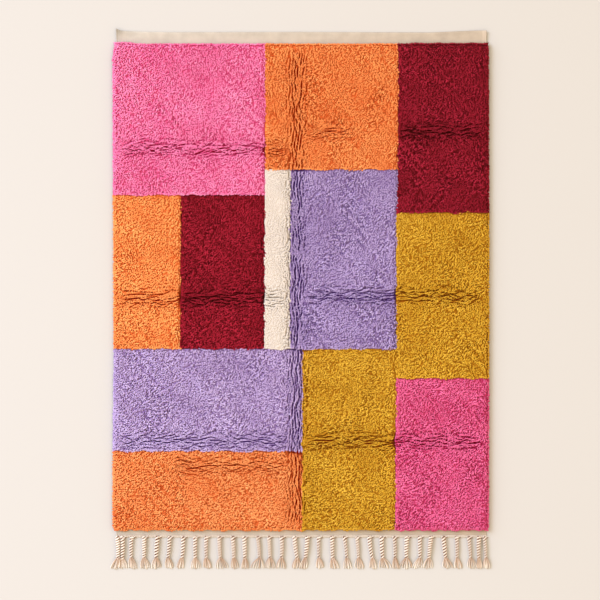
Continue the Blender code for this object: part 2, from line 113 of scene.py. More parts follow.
# The locks: one stands for a clump of knots, because real yarn tips are too fine to show.
LOCK_PITCH, RIM_PITCH, CLUMP_PITCH, BED_PITCH = 5.2 * MM, 4.6 * MM, 11 * MM, 13 * MM
# Lie of the pile at the head and at the foot, and of its strokes, in degrees from u towards v.
HEAD_LIE, FOOT_LIE, STROKE_LIE = 114, 150, 132

# Sets of waves: seed, how many, and the shortest and the longest, in metres.
SWELL = (8, 9, 0.15, 0.45)
BROAD_HILLS, SMALL_HILLS = (5, 14, 0.10, 0.40), (6, 10, 0.04, 0.09)
STROKES = (33, 20, 0.008, 0.0125)
SMALL_PATCHES, BROAD_PATCHES = (31, 12, 0.04, 0.12), (32, 8, 0.12, 0.35)
BORDER_ACROSS, BORDER_DOWN = (51, 10, 0.02, 0.14), (52, 10, 0.02, 0.14)
TONE_CLOUDS, TONE_ROWS, TONE_LOTS = (9, 14, 0.06, 0.22), (10, 12, 0.025, 0.07), (11, 8, 0.25, 0.6)
GROUND_SLACK = (14, 8, 0.06, 0.2)

# Fringe: root, knot's shift, tuft's shift and splay, in millimetres, from left to right.
TASSELS = [
    (19, 2, -12, 29), (38, -1, 1, 29), (75, -2, 3, 30), (125, -1, 3, 34), (178, -6, -6, 36),
    (226, -7, -1, 27), (280, -5, -13, 25), (328, 0, 1, 34), (372, -1, 5, 28), (424, 4, 11, 42),
    (477, 4, 8, 25), (523, 2, 2, 28), (576, 8, -1, 45), (621, 5, 2, 36), (672, -1, -4, 33),
    (723, 11, 4, 28), (774, -8, -16, 28), (819, 1, 5, 30), (873, 2, 9, 28), (921, 10, 15, 30),
    (971, 7, 12, 32), (1021, 12, 15, 25), (1070, 4, 15, 42), (1120, 3, 6, 24), (1171, -2, -5, 42),
    (1221, 1, -10, 32), (1267, -9, -14, 38), (1316, 9, 20, 36), (1368, 2, 7, 32), (1416, 8, 15, 32),
    (1458, -1, 2, 18), (1478, 7, 9, 24),
]
CORD_START, CORD_END, TUFT_LENGTH = 1.9640, 2.0543, 0.039
PLY_RADIUS, SPIRAL_RADIUS, TWIST_PITCH = 2.9 * MM, 4.6 * MM, 21 * MM
CORD_STATIONS, CORD_SIDES = 44, 7
TUFT_STRANDS, TUFT_STATIONS, TUFT_NECK = 7, 8, 8 * MM
STRAND_RADIUS = 2.3 * MM
# Twined rows along the foot edge: place v and height z, in metres, and the tones of both plies.
TWINED_ROWS = [(1.9600, 3.9 * MM, 10, 8), (1.9635, 3.6 * MM, 12, 10), (1.9669, 2.4 * MM, 9, 8)]


def linear(hexcode):
    """Turn an sRGB hex colour into linear RGBA."""
    values = [int(hexcode[i:i + 2], 16) / 255 for i in (1, 3, 5)]
    return [v / 12.92 if v <= 0.04045 else ((v + 0.055) / 1.055) ** 2.4 for v in values] + [1.0]


def to_frame(u, v, z):
    """Stack plan coordinates as points of the row frame."""
    return np.stack((u + PLAN_TO_X, PLAN_TO_Y - v, z), axis=-1)


# Shape of the rug


def waves(u, v, seed, count, shortest, longest):
    """A smooth unevenness of unit spread: the sum of sine waves of many directions."""
    rng = np.random.default_rng(seed)
    total = np.zeros_like(u)
    for _ in range(count):
        heading, phase = rng.uniform(0, 2 * math.pi, 2)
        length = rng.uniform(shortest, longest)
        total += np.sin(2 * math.pi * (u * math.cos(heading) + v * math.sin(heading)) / length + phase)
    return total * math.sqrt(2 / count)


def swell(u, v):
    """Gentle rise and fall of the whole pile, by about a millimetre."""
    return 1.1 * MM * waves(u, v, *SWELL)


def corner_lift(u, v):
    """How far the curled corners of the head end rise: the cube of nearness to each corner."""
    lift = np.zeros_like(u)
    for corner_u, corner_v, height, reach in CORNER_LIFTS:
        near = np.clip(1 - np.hypot(u - corner_u, v - corner_v) / reach, 0, 1)
        lift += height * near ** 3
    return lift


def outline(u, v):
    """Distances in from the pile's left, right, head and foot edges. The foot edge is wavy."""
    left = u - np.interp(v, *np.array(LEFT_STRAY).T)
    right = PILE_WIDTH - np.interp(v, *np.array(RIGHT_STRAY).T) - u
    head = v + np.interp(u, *np.array(HEAD_STRAY).T)
    foot = PILE_LENGTH + 2.2 * MM * np.sin(u * 61) + 1.8 * MM * np.sin(u * 143 + 1) - v
    return np.stack((left, right, head, foot))


def rim_height(inset):
    """Height of the pile's rounded rim at a distance in from its outline."""
    return np.interp(inset, *(np.array(RIM_PROFILE).T * MM))


def wander(along):
    """How far a crease strays from its straight line at a place along it: two slow sine waves."""
    turn = 2 * math.pi * along / 0.150
    return 3 * MM * (np.sin(turn) + 0.6 * np.sin(0.43 * turn + 1.3))


def furrows(u, v):
    """Each crease's furrow lines at places in the plan.

    Yields the crease's direction, how near each place is to its middle, and for each of its lines
    the distance past the line and how open it is, from 0 to 1. A line strays from the crease and
    opens and closes along it as sums of sine waves. It is more open in a deeper fold and in the
    crease's middle, and closes over 40 mm at the crease's ends.
    """
    for number, (direction, place, start, finish, deep) in enumerate(CREASES):
        kind = FURROWS[direction]
        count, spacing = kind["count"], kind["spacing"]
        across, along = (u, v) if direction == "down" else (v, u)
        offset = across - place - wander(along)
        fade = np.clip(np.minimum(along - start, finish - along) / 0.04 + 0.3, 0, 1)
        near = fade * np.exp(-(offset / (0.42 * count * spacing)) ** 2)
        lines = []
        for line in range(count):
            middle = (line - (count - 1) / 2) * spacing
            seed = 100 + 10 * number + line
            stray = waves(along, 0 * along, seed, 6, 0.03, 0.10) * kind["stray"]
            opening = kind["open"] + 0.9 * waves(along, 0 * along, seed + 500, 6, 0.03, kind["longest"])
            opening -= kind["narrowing"] * abs(middle) / (spacing * count / 2)
            opening = np.clip(opening, 0, 1) * fade * (0.10 + 190 * deep)
            lines.append((offset - middle - stray, np.clip(opening, 0, 1)))
        yield direction, near, lines


def furrow_depth(u, v):
    """Depth of the furrows: a rounded trough, 3 mm to either side of each line where it is open."""
    depth = np.zeros_like(u)
    for direction, _, lines in furrows(u, v):
        for past, opening in lines:
            depth += FURROWS[direction]["depth"] * opening * np.exp(-(past / (3.0 * MM)) ** 2)
    return depth


# Meshes


def make_piece(name, points, faces, chart, material, slot):
    """Put worked-out points, faces and the yarn chart into a new piece."""
    mesh = bpy.data.meshes.new(name)
    mesh.vertices.add(len(points))
    mesh.vertices.foreach_set("co", points.astype(np.float32).ravel())
    mesh.loops.add(faces.size)
    mesh.loops.foreach_set("vertex_index", faces.astype(np.int32).ravel())
    mesh.polygons.add(len(faces))
    starts = np.arange(0, faces.size, faces.shape[1], dtype=np.int32)
    mesh.polygons.foreach_set("loop_start", starts)
    mesh.update(calc_edges=True)
    mesh.shade_smooth()
    layer = mesh.uv_layers.new(name="OFBake")
    layer.uv.foreach_set("vector", chart.astype(np.float32).ravel())
    mesh.materials.append(material)
    piece = bpy.data.objects.new(name, mesh)
    bpy.context.scene.collection.objects.link(piece)
    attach(piece, "root")
    return piece


def chart_x(level, around):
    """Place in the chart of one tone level: its own column, narrowed to stay clear of the next."""
    return (level + 0.04 + 0.92 * around) / YARN_LEVELS


def repeat_shape(points, faces, chart, levels):
    """Give every copy of a shape its faces, and its chart in the column of its own tone level.

    points is (copies, points of one, 3). faces and chart are those of one copy.
    """
    count, size, _ = points.shape
    all_faces = (faces[None] + size * np.arange(count)[:, None, None]).reshape(-1, 3)
    all_chart = np.repeat(chart[None], count, axis=0)
    all_chart[..., 0] = chart_x(levels[:, None, None], all_chart[..., 0])
    return points.reshape(-1, 3), all_faces, all_chart.reshape(-1, 2)


def join_shapes(parts):
    """Join worked-out shapes, each its points, faces and chart, into one."""
    shifts = np.cumsum([0] + [len(points) for points, _, _ in parts[:-1]])
    return (np.concatenate([points for points, _, _ in parts]),
            np.concatenate([faces + shift for (_, faces, _), shift in zip(parts, shifts)]),
            np.concatenate([chart for _, _, chart in parts]))


def axes(direction):
    """Unit vectors along a direction, level across it, and square to both."""
    along = direction / np.linalg.norm(direction, axis=-1, keepdims=True)
    side = np.stack((along[..., 1], -along[..., 0], np.zeros(along.shape[:-1])), axis=-1)
    side /= np.maximum(np.linalg.norm(side, axis=-1, keepdims=True), 1e-9)
    return along, side, np.cross(side, along)


def tubes(paths, radii, sides, levels):
    """Yarns as one mesh: a round section carried along each path and drawn to a point at each end.

    paths is (yarns, stations, 3), radii (yarns, stations) and levels the tone of each yarn.
    Each section lies square to its path, with its first direction level.
    """
    count, stations, _ = paths.shape
    tangent, side, up = axes(np.gradient(paths, axis=1))
    angle = 2 * math.pi * (np.arange(sides) + 0.25) / sides
    ring = np.cos(angle)[:, None] * side[:, :, None] + np.sin(angle)[:, None] * up[:, :, None]
    rings = paths[:, :, None] + radii[:, :, None, None] * ring
    first = paths[:, 0] - 0.5 * radii[:, 0, None] * tangent[:, 0]
    last = paths[:, -1] + 0.5 * radii[:, -1, None] * tangent[:, -1]
    points = np.concatenate((rings.reshape(count, -1, 3), first[:, None], last[:, None]), axis=1)

    station, step = np.meshgrid(np.arange(stations - 1), np.arange(sides), indexing="ij")
    after = (step + 1) % sides
    a, b = station * sides + step, station * sides + after
    c, d = b + sides, a + sides
    walls = np.stack((a, d, c, a, c, b), axis=-1).reshape(-1, 3)
    x0, x1 = step / sides, (step + 1) / sides
    y0, y1 = station / (stations - 1), (station + 1) / (stations - 1)
    wall_chart = np.stack((x0, y0, x0, y1, x1, y1, x0, y0, x1, y1, x1, y0), axis=-1).reshape(-1, 3, 2)
    step = np.arange(sides)
    after = (step + 1) % sides
    end = (stations - 1) * sides
    root, tip = np.full(sides, stations * sides), np.full(sides, stations * sides + 1)
    root_cap = np.stack((root, step, after), axis=-1)
    tip_cap = np.stack((end + after, end + step, tip), axis=-1)
    low, high = np.full(sides, 0.01), np.full(sides, 0.99)
    x0, x1, xm = step / sides, (step + 1) / sides, (step + 0.5) / sides
    root_chart = np.stack((xm, 0 * low, x0, low, x1, low), axis=-1).reshape(-1, 3, 2)
    tip_chart = np.stack((x1, high, x0, high, xm, 0 * low + 1), axis=-1).reshape(-1, 3, 2)
    faces = np.concatenate((walls, root_cap, tip_cap))
    chart = np.concatenate((wall_chart, root_chart, tip_chart))
    return repeat_shape(points, faces, chart, levels)


def locks(centres, widths, heights, levels):
    """Wool locks as one mesh: each swells from its root to a three-sided brow and draws to a tip.

    centres is (locks, 3, 3): root, brow and tip. widths and heights are half the brow's size. One
    ridge of the brow points up, so that light falls off to both sides.
    """
    _, side, up = axes(centres[:, 2] - centres[:, 0])
    angle = np.radians((90, 210, 330))
    ring_side = (widths[:, None] * np.cos(angle))[..., None] * side[:, None]
    ring_up = (heights[:, None] * np.sin(angle))[..., None] * up[:, None]
    brow = centres[:, 1:2] + ring_side + ring_up
    points = np.concatenate((centres[:, 0:1], brow, centres[:, 2:3]), axis=1)

    faces, chart = [], []
    brow_y = 0.7
    for j in range(3):
        k, x0, x1 = (j + 1) % 3, j / 3, (j + 1) / 3
        xm = (x0 + x1) / 2
        faces += [(0, 1 + j, 1 + k), (1 + j, 4, 1 + k)]
        chart += [((xm, 0), (x0, brow_y), (x1, brow_y)), ((x0, brow_y), (xm, 1), (x1, brow_y))]
    return repeat_shape(points, np.array(faces), np.array(chart, float), levels)


def slab(top, under):
    """A closed slab: a grid of top points, its walls, and the same grid below, all triangles."""
    rows, columns, _ = top.shape
    row, column = np.meshgrid(np.arange(rows - 1), np.arange(columns - 1), indexing="ij")
    a = row * columns + column
    b, c, d = a + 1, a + columns + 1, a + columns
    upper = np.stack((a, c, b, a, d, c), axis=-1).reshape(-1, 3)
    lower = upper[:, ::-1] + rows * columns
    rim = np.concatenate((np.arange(columns), np.arange(2, rows + 1) * columns - 1,
                          rows * columns - 2 - np.arange(columns - 1),
                          np.arange(rows - 2, 0, -1) * columns))
    after = np.roll(rim, -1)
    below = rows * columns
    walls = np.stack((rim, after, after + below, rim, after + below, rim + below), axis=-1)
    faces = np.concatenate((upper, lower, walls.reshape(-1, 3)))
    points = np.concatenate((top.reshape(-1, 3), under.reshape(-1, 3)))
    return points, faces


# Materials


def new_material(name, roughness, sheen, sheen_tint):
    """A cloth material with its plain sockets set. Returns it, its node tree and its shader."""
    material = bpy.data.materials.new(name)
    material.use_nodes = True
    tree = material.node_tree
    shader = tree.nodes["Principled BSDF"]
    shader.inputs["Roughness"].default_value = roughness
    shader.inputs["Specular IOR Level"].default_value = 0.15
    shader.inputs["Sheen Weight"].default_value = sheen
    shader.inputs["Sheen Roughness"].default_value = 0.5
    shader.inputs["Sheen Tint"].default_value = linear(sheen_tint)
    return material, tree, shader


def add_node(tree, kind, settings=None, links=None):
    """Add a node with its settings, by property or input, and its links from other sockets."""
    node = tree.nodes.new(kind)
    for key, value in (settings or {}).items():
        if isinstance(key, str) and hasattr(node, key):
            setattr(node, key, value)
        else:
            node.inputs[key].default_value = value
    for key, socket in (links or {}).items():
        tree.links.new(socket, node.inputs[key])
    return node


def yarn_material(name, tones, sheen):
    """Dyed or undyed wool or cotton yarn of one lot, coloured through the chart.

    tones are the painted shade between the roots, and then the dark, middle and light yarns. Such
    yarn is matt, with a faint sheen from its loose fibres, and no two yarns took up the same dye.
    Shade is painted in by the chart's y: towards the roots the colour turns to the root colour, as
    light trapped between roots grows deeper and richer, and in the bottom of a fold, below fold_end
    in the chart's y, it is painted darker still: there the root colour is multiplied by a power of
    its own hue.
    """
    deep, dark, middle, light = tones
    fold_shade, fold_richness, fold_end = 0.46, 1.3, 0.28
    root_end, brow_start = 0.2, 0.9
    material, tree, shader = new_material(name, 0.9, sheen, light)
    chart = add_node(tree, "ShaderNodeUVMap", {"uv_map": "OFBake"})
    parts = add_node(tree, "ShaderNodeSeparateXYZ", links={0: chart.outputs[0]})
    ramp_node = add_node(tree, "ShaderNodeValToRGB", links={0: parts.outputs[0]})
    ramp = ramp_node.color_ramp
    ramp.elements[0].position, ramp.elements[0].color = 0.0, linear(dark)
    ramp.elements[1].position, ramp.elements[1].color = 1.0, linear(light)
    ramp.elements.new(0.5).color = linear(middle)
    # painted shade: low in y the deep root colour, blending into the tone up to brow_start
    height = add_node(tree, "ShaderNodeMapRange", {1: root_end, 2: brow_start}, {0: parts.outputs[1]})
    colour = add_node(tree, "ShaderNodeMix", {"data_type": "RGBA", 6: linear(deep)},
                      {0: height.outputs[0], 7: ramp_node.outputs[0]})
    # painted fold shade: the root colour darkened by a power of its own hue
    root = np.array(linear(deep)[:3])
    fold_shade_colour = [*(fold_shade * root * (root / root.max()) ** fold_richness), 1.0]
    open_part = add_node(tree, "ShaderNodeMapRange", {1: 0.0, 2: fold_end}, {0: parts.outputs[1]})
    shaded = add_node(tree, "ShaderNodeMix", {"data_type": "RGBA", 6: fold_shade_colour},
                      {0: open_part.outputs[0], 7: colour.outputs[2]})
    tree.links.new(shaded.outputs[2], shader.inputs["Base Color"])
    return material


def weave_material():
    """Undyed wool plain weave: warp and weft threads cross; it yellows to the right.

    It looks matt and finely ribbed, a little cloudy where the wool is uneven. The chart runs across
    the band in x and from head to foot in y, both in parts of FOOT_EDGE. It paints shade on the
    curled left corner, over 35 mm, where the curl turns from the light, and pales the last 16 mm at
    the right selvedge. Real threads, 2 to 3 mm apart, are too fine to show: these scales draw one
    every 7.0 mm across and every 5.2 mm down.
    """
    warp_scale, weft_scale, cloud_scale = 45.0, 60.0, 22.0
    material, tree, shader = new_material("undyed_plain_weave", 0.92, 0.15, "#fff3e2")
    place = add_node(tree, "ShaderNodeTexCoord").outputs["Object"]
    chart = add_node(tree, "ShaderNodeUVMap", {"uv_map": "OFBake"})
    parts = add_node(tree, "ShaderNodeSeparateXYZ", links={0: chart.outputs[0]})
    yellow = add_node(tree, "ShaderNodeMix",
                      {"data_type": "RGBA", 6: linear(WEAVE_LEFT), 7: linear(WEAVE_RIGHT)},
                      {0: parts.outputs[0]})
    noise = add_node(tree, "ShaderNodeTexNoise", {"Scale": cloud_scale, "Detail": 3.0}, {0: place})
    uneven = add_node(tree, "ShaderNodeMapRange", {1: 0.3, 2: 0.7, 3: 0.90, 4: 1.08},
                      {0: noise.outputs[0]})
    corner = add_node(tree, "ShaderNodeVectorMath", {"operation": "LENGTH"}, {0: chart.outputs[0]})
    # painted shade on the curled left corner, where it turns from the light
    curl_shade = add_node(tree, "ShaderNodeMapRange", {1: 0.002, 2: 0.018, 3: 0.72, 4: 1.0},
                    {0: corner.outputs[1]})
    cord = add_node(tree, "ShaderNodeMapRange", {1: 0.7435, 2: 0.7445, 3: 1.0, 4: 1.14},
                    {0: parts.outputs[0]})
    shade = uneven
    for other in (curl_shade, cord):
        shade = add_node(tree, "ShaderNodeMath", {"operation": "MULTIPLY"},
                         {0: shade.outputs[0], 1: other.outputs[0]})
    colour = add_node(tree, "ShaderNodeVectorMath", {"operation": "SCALE"},
                      {0: yellow.outputs[2], 3: shade.outputs[0]})
    tree.links.new(colour.outputs[0], shader.inputs["Base Color"])
    warp, weft = [add_node(tree, "ShaderNodeTexWave", {"bands_direction": way, "Scale": scale},
                           {0: place}) for way, scale in (("X", warp_scale), ("Y", weft_scale))]
    threads = add_node(tree, "ShaderNodeMath", {"operation": "ADD"},
                       {0: warp.outputs[1], 1: weft.outputs[1]})
    bump = add_node(tree, "ShaderNodeBump", {"Strength": 0.35, "Distance": 0.8 * MM},
                    {"Height": threads.outputs[0]})
    tree.links.new(bump.outputs[0], shader.inputs["Normal"])
    return material


# Lie and openness of the pile


def stream(u, v):
    """The pile's stream function: it lies along this function's level lines.

    A slope across the lie, which turns from steep at the head to more level at the foot, and
    wavy hills that make it swirl.
    """
    turn = np.radians(np.interp(v, (0, PILE_LENGTH), (HEAD_LIE, FOOT_LIE)))
    hills = waves(u, v, *BROAD_HILLS) + 0.15 * waves(u, v, *SMALL_HILLS)
    return u * np.sin(turn) - v * np.cos(turn) + 0.009 * hills


def lean(u, v):
    """Which way the pile lies, down to the left: the curl of its stream function, and its size."""
    step = 1 * MM
    flow_u = -(stream(u, v + step) - stream(u, v - step)) / (2 * step)
    flow_v = (stream(u + step, v) - stream(u - step, v)) / (2 * step)
    strength = np.hypot(flow_u, flow_v)
    return flow_u / strength, flow_v / strength, np.clip(strength, 0.3, 1.5)


def strokes(u, v):
    """Ridges of unit spread that run with the lie of the pile, three times as long as wide."""
    along = u * math.cos(math.radians(STROKE_LIE)) + v * math.sin(math.radians(STROKE_LIE))
    return waves(stream(u, v), 0.33 * along, *STROKES)


def looseness(u, v, number):
    """How open the pile is, from 0 where it is packed smooth to about 1 where its locks part.

    It is patchy, grows towards the foot, and is more or less for each dye lot.
    """
    halfway_down = 0.97
    own = np.array([OPENNESS.get(field[0], 1.0) for field in FIELDS])[number]
    patches = 0.22 * waves(u, v, *SMALL_PATCHES) + 0.20 * waves(u, v, *BROAD_PATCHES)
    return own * np.clip(0.40 + patches + 0.16 * (v - halfway_down), 0, 1.4)


def part_at_furrows(u, v):
    """Move places out of the crease furrows. Returns them and how near each is to a crease."""
    near_down, near_across = np.zeros_like(u), np.zeros_like(u)
    move_u, move_v = np.zeros_like(u), np.zeros_like(u)
    for direction, near, lines in furrows(u, v):
        width = FURROWS[direction]["spacing"] / 2
        push = np.zeros_like(u)
        for past, opening in lines:
            share = np.maximum(1 - np.abs(past) / width, 0)
            push += np.where(past < 0, -1, 1) * share * (width - FURROW_LIP) * opening
        if direction == "down":
            move_u, near_down = move_u + push, np.maximum(near_down, near)
        else:
            move_v, near_across = move_v + push, np.maximum(near_across, near)
    return u + move_u, v + move_v, near_down, near_across


def drift(u, v):
    """How far the fields' borders stray to the left of straight, most towards the lower right."""
    return MM * (np.interp(v, (0.50, 0.72, 1.30, PILE_LENGTH), (0, 8, 9, 12))
                 * np.interp(u, (0.62, 0.75, 1.13, 1.45), (0, 0.5, 1, 0)))


def field_of(u, v):
    """Number of the field at a place, and how far its borders stray there to the left and up.

    The borders wave by a few millimetres, as knotted rows do.
    """
    wave_u = 2.0 * MM * waves(u, v, *BORDER_ACROSS) + drift(u, v)
    wave_v = 2.0 * MM * waves(u, v, *BORDER_DOWN)
    u = np.clip(u + wave_u, 1e-6, PILE_WIDTH - 1e-6)
    v = np.clip(v + wave_v, 1e-6, PILE_LENGTH - 1e-6)
    number = np.zeros(u.shape, int)
    for n, (_, left, right, top, bottom) in enumerate(FIELDS):
        number = np.where((u >= left) & (u < right) & (v >= top) & (v < bottom), n, number)
    return number, wave_u, wave_v


# Places of the locks


def inner_places(rng):
    """Jittered rows of places over the pile, every other row shifted by half a step."""
    rows = np.arange(-0.012, PILE_LENGTH + 0.004, LOCK_PITCH * math.sqrt(0.75))
    columns = np.arange(-0.004, PILE_WIDTH + 0.004, LOCK_PITCH)
    v, u = np.meshgrid(rows, columns, indexing="ij")
    u = u + LOCK_PITCH / 2 * (np.arange(len(rows)) % 2)[:, None]
    u, v = u.ravel(), v.ravel()
    u = u + rng.uniform(-0.3, 0.3, u.size) * LOCK_PITCH
    v = v + rng.uniform(-0.3, 0.3, v.size) * LOCK_PITCH
    inside = outline(u, v).min(axis=0) > 8 * MM
    return u[inside], v[inside]


def rim_places(rng):
    """Two rows of places close behind the outline, which give the rim its closed edge."""
    down = np.tile(np.arange(-0.002, PILE_LENGTH - 0.004, RIM_PITCH), 2)
    across = np.tile(np.arange(0.004, PILE_WIDTH - 0.004, RIM_PITCH), 2)

    def inset(count):
        """Distances in from the edge: about 10 mm for one row, and 8 mm more for the other."""
        return (rng.uniform(8, 11, count) + np.where(np.arange(count) < count // 2, 0, 8)) * MM

    left = inset(down.size) + np.interp(down, *np.array(LEFT_STRAY).T)
    right = PILE_WIDTH - inset(down.size) - np.interp(down, *np.array(RIGHT_STRAY).T)
    head = inset(across.size) - np.interp(across, *np.array(HEAD_STRAY).T)
    foot = PILE_LENGTH - inset(across.size)
    return np.concatenate((left, right, across, across)), np.concatenate((down, down, head, foot))


def clump_of(u, v, rng):
    """Offset to the nearest clump's middle, and that clump's own three random numbers.

    The middles are a jittered grid, and each place looks for its own in the nine cells round it.
    """
    pitch = CLUMP_PITCH
    columns, rows = int(PILE_WIDTH / pitch) + 5, int(PILE_LENGTH / pitch) + 7
    middle_u = (np.arange(columns) - 1.5)[None, :] + rng.uniform(-0.38, 0.38, (rows, columns))
    middle_v = (np.arange(rows) - 2.5)[:, None] + rng.uniform(-0.38, 0.38, (rows, columns))
    own = rng.uniform(-1, 1, (rows, columns, 3))
    cell_u = np.clip((u / pitch + 2).astype(int), 1, columns - 2)
    cell_v = np.clip((v / pitch + 3).astype(int), 1, rows - 2)
    best = np.full(u.shape, 1e9)
    off_u, off_v, traits = np.zeros_like(u), np.zeros_like(u), np.zeros(u.shape + (3,))
    for dv in (-1, 0, 1):
        for du in (-1, 0, 1):
            mu, mv = middle_u[cell_v + dv, cell_u + du], middle_v[cell_v + dv, cell_u + du]
            far = np.hypot(mu * pitch - u, mv * pitch - v)
            nearer = far < best
            best = np.where(nearer, far, best)
            off_u = np.where(nearer, mu * pitch - u, off_u)
            off_v = np.where(nearer, mv * pitch - v, off_v)
            traits = np.where(nearer[:, None], own[cell_v + dv, cell_u + du], traits)
    return off_u, off_v, traits


def lock_places(rng):
    """Where the locks stand, and what each place makes of its lock, as arrays by name.

    u and v are the root's place. box holds its field's left, right, top and bottom border, put far
    off at the pile's own edge. The near arrays tell how near a crease is, loose how open the pile
    is. off_u and off_v lead to the clump's middle, and traits are that clump's own numbers.
    """
    u, v = inner_places(rng)
    rim_u, rim_v = rim_places(rng)
    u, v = np.concatenate((u, rim_u)), np.concatenate((v, rim_v))
    _, _, near_down, near_across = part_at_furrows(u, v)
    near = np.maximum(near_down, near_across)
    field, wave_u, wave_v = field_of(u, v)
    soft = np.array([lot == SOFT_LOT for lot, *_ in FIELDS])[field]
    loose = np.maximum(looseness(u, v, field), 0.6 * near * (1 - soft))
    off_u, off_v, traits = clump_of(u, v, rng)
    box = np.array([sides for _, *sides in FIELDS])[field].T
    box[0] = np.where(box[0] == 0, -1, box[0] - wave_u)
    box[1] = np.where(box[1] == PILE_WIDTH, 9, box[1] - wave_u)
    box[2] = np.where(box[2] == 0, -1, box[2] - wave_v)
    box[3] = np.where(box[3] == PILE_LENGTH, 9, box[3] - wave_v)
    return SimpleNamespace(u=u, v=v, count=u.size, field=field, box=box, near_down=near_down,
                           near_across=near_across, near=near, loose=loose, soft=soft,
                           off_u=off_u, off_v=off_v, traits=traits)


# Shapes and tones of the locks


def lock_lie(at, rng):
    """Which way each lock lies, and how strong the stream is there.

    A lock lies with the stream, turned by its own and its clump's chance, and in a crease along the
    furrows. Within 30 mm of the outline it turns outwards and hangs over the rim. At a border the
    left or upper field hangs a little over its neighbour, which leans away.
    """
    flow_u, flow_v, strength = lean(at.u, at.v)
    turn = np.radians(15 + 12 * at.loose - 6 * at.soft) * rng.standard_normal(at.count)
    turn = turn + np.radians(12 + 22 * at.loose) * at.traits[:, 0]
    turn = turn * (1 - 0.9 * at.near)
    flow_u, flow_v = (flow_u * np.cos(turn) - flow_v * np.sin(turn),
                      flow_u * np.sin(turn) + flow_v * np.cos(turn))
    along_u = at.near_across * np.where(flow_u < 0, -1, 1)
    along_v = at.near_down * np.where(flow_v < 0, -1, 1)
    flow_u, flow_v = flow_u * (1 - 0.9 * at.near) + along_u, flow_v * (1 - 0.9 * at.near) + along_v

    pull = np.maximum(1 - outline(at.u, at.v) / (30 * MM), 0) ** 1.3
    out_u, out_v = pull[1] - pull[0], pull[3] - pull[2]
    weight = np.clip(pull.max(axis=0) * 1.4, 0, 1)
    flow_u, flow_v = flow_u * (1 - weight) + 1.3 * out_u, flow_v * (1 - weight) + 1.3 * out_v

    left, right, top, bottom = at.box
    flow_u = np.where(at.u - left < 6 * MM, np.abs(flow_u), flow_u)
    flow_v = np.where(at.v - top < 6 * MM, np.abs(flow_v), flow_v)
    flow_u = flow_u + 0.8 * np.clip(1 - (right - at.u) / (10 * MM), 0, 1)
    flow_v = flow_v + 0.8 * np.clip(1 - (bottom - at.v) / (10 * MM), 0, 1)
    size = np.hypot(flow_u, flow_v)
    return flow_u / size, flow_v / size, strength


def lock_paths(at, rng):
    """Places of each lock's root, brow and tip: about 13 mm along its lie, drawn to its clump.

    All three part at the furrows. Tips stop at the border and at the outline, each clump at its
    own place, so that both edges are ragged.
    """
    flow_u, flow_v, strength = lock_lie(at, rng)
    reach = (10 + 3 * strength + 2 * at.near) * MM * rng.uniform(0.75, 1.25, at.count)
    side_u, side_v = -flow_v, flow_u
    gather = (0.2 + 0.25 * at.loose) * (at.off_u * side_u + at.off_v * side_v) * (1 - at.near)
    along = np.array((0.0, 0.6, 1.0))
    sideways = np.outer(gather, (0, 0.7, 1.0))
    path_u = at.u[:, None] + np.outer(flow_u * reach, along) + side_u[:, None] * sideways
    path_v = at.v[:, None] + np.outer(flow_v * reach, along) + side_v[:, None] * sideways
    path_u, path_v, _, _ = part_at_furrows(path_u, path_v)

    tip_u, tip_v = path_u[:, 2], path_v[:, 2]
    left, right, top, bottom = at.box
    hang = (2.5 + 3.5 * at.traits[:, 1]) * MM
    move_u = -np.maximum(tip_u - right - hang, 0) + np.maximum(left - 1 * MM - tip_u, 0)
    move_v = -np.maximum(tip_v - bottom - hang, 0) + np.maximum(top - 1 * MM - tip_v, 0)
    ragged = (-1.4 - 2.0 * at.traits[:, 1]) * MM
    edge = outline(tip_u, tip_v) - np.array((-2.0, 0, 1.6, 1.0))[:, None] * MM
    move_u += np.maximum(ragged - edge[0], 0) - np.maximum(ragged - edge[1], 0)
    move_v += np.maximum(ragged - edge[2], 0) - np.maximum(ragged - edge[3], 0)
    return path_u + move_u[:, None], path_v + move_v[:, None]


def lock_heights(at, path_u, path_v, ridge, trough, rng):
    """Heights of each lock's root, brow and tip, and how far its brow stands over the swell.

    The brow rises with the swell, a chance of its own and its stroke's ridge, and sinks at the
    edge of its clump and in a furrow. Locks stay under the rounded rim and above the ground.
    """
    rise = swell(at.u, at.v)
    clump_edge = np.clip(np.hypot(at.off_u, at.off_v) / (7 * MM), 0, 1) ** 2
    brow = PILE_TOP + rise
    brow += (0.20 + 0.40 * at.loose - 0.10 * at.soft) * MM * rng.standard_normal(at.count)
    brow += (0.30 + 0.80 * at.loose - 0.20 * at.soft) * MM * ridge - (0.2 + 0.6 * at.loose) * MM * clump_edge
    brow -= 0.45 * trough
    inset = np.stack([outline(path_u[:, k], path_v[:, k]).min(axis=0) for k in range(3)], axis=1)
    tip_drop = rng.uniform(0.3, 2.2, at.count) * MM * (1 - 0.6 * at.soft)
    heights = np.stack((PILE_TOP - (10 - 4 * at.soft) * MM, brow, brow - tip_drop), axis=1)
    heights = np.minimum(heights, rim_height(inset) + 0.8 * MM * rng.standard_normal((at.count, 1)))
    heights = np.maximum(heights, GROUND_TOP + 0.6 * MM) + corner_lift(path_u, path_v)
    return heights, brow - PILE_TOP - 0.7 * rise


